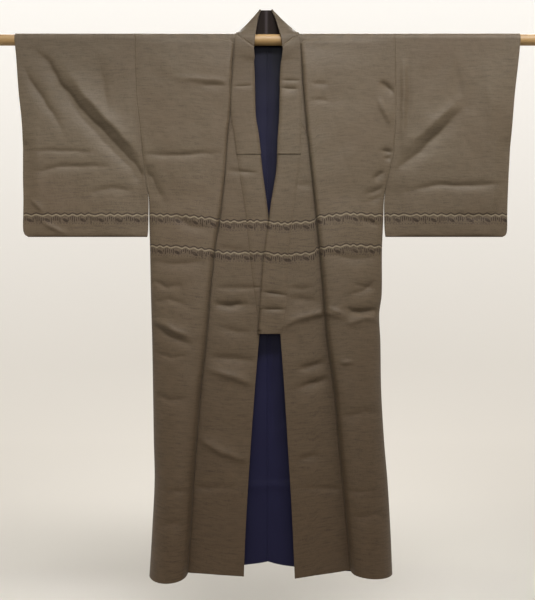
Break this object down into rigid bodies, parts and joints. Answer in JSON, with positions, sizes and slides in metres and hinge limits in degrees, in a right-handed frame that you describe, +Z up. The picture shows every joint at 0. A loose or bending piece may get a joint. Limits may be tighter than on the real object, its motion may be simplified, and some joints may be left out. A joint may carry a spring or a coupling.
{
  "type": "kimono on a pole",
  "caption": "Man's lined kimono in olive silk with navy lining, hung open by its sleeves on a round wooden pole.",
  "frame": {"origin": "on the pole's axis at mid garment, where a rack holds the pole", "axes": "+X to the wearer's left along the pole, -Y to the front of the garment, +Z up"},
  "size_m": [1.5, 0.0877, 1.4341],
  "materials": {
    "silk": "soft matt silk with a fine slub weave",
    "lining": "smooth navy lining silk",
    "facing": "dark matt neck facing",
    "wood": "planed pale softwood"
  },
  "bodies": {
    "root": {"pole": "wood", "body_right": "silk", "body_left": "silk", "sleeve_right": "silk", "sleeve_left": "silk", "okumi_right": "silk", "okumi_left": "silk", "collar": "silk", "over_collar": "silk", "neck_facing": "facing", "lining_right": "lining", "lining_left": "lining"}
  },
  "joints": []
}
